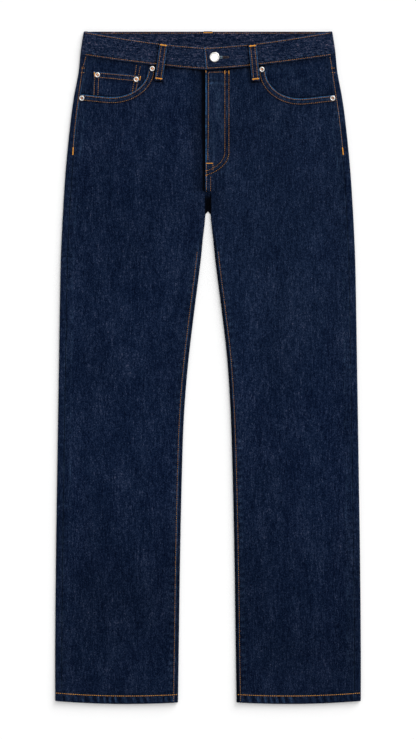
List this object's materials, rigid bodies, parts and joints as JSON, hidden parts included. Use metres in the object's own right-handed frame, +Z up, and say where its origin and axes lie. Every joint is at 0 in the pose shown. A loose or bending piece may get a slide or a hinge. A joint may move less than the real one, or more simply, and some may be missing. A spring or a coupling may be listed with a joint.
{
  "type": "straight leg jeans",
  "caption": "Straight leg denim jeans lying flat, face up, with a buttoned waistband, fly, front pockets, a coin pocket, back pockets, belt loops, rivets and turned hems.",
  "frame": {"origin": "middle of the garment's outline, on the surface that it lies on", "axes": "+X to the right of someone looking down on the front, +Y from the hems to the waist, +Z up, out of the front of the garment"},
  "size_m": [0.5018, 1.104, 0.0127],
  "materials": {
    "denim": "dark indigo right-hand twill denim, matt, with upright slubs",
    "waistband_denim": "dark indigo denim, a little paler where it is handled",
    "nickel": "satin nickel plate",
    "copper": "worn copper",
    "thread": "tobacco orange cotton topstitching"
  },
  "bodies": {
    "root": {"front_left": "denim", "back_left": "denim", "yoke_left": "denim", "hem_left": "denim", "pocket_facing_left": "denim", "back_pocket_left": "denim", "front_right": "denim", "back_right": "denim", "yoke_right": "denim", "hem_right": "denim", "pocket_facing_right": "denim", "back_pocket_right": "denim", "coin_pocket": "denim", "waistband": "waistband_denim", "belt_loop_front_left": "waistband_denim", "belt_loop_front_right": "waistband_denim", "belt_loop_back_left": "waistband_denim", "belt_loop_back_centre": "waistband_denim", "belt_loop_back_right": "waistband_denim", "button": "nickel", "rivet_1": "nickel", "rivet_burr_1": "copper", "rivet_2": "nickel", "rivet_burr_2": "copper", "rivet_3": "nickel", "rivet_burr_3": "copper", "rivet_4": "nickel", "rivet_burr_4": "copper", "rivet_5": "nickel", "rivet_burr_5": "copper", "rivet_6": "nickel", "rivet_burr_6": "copper"}
  },
  "joints": []
}
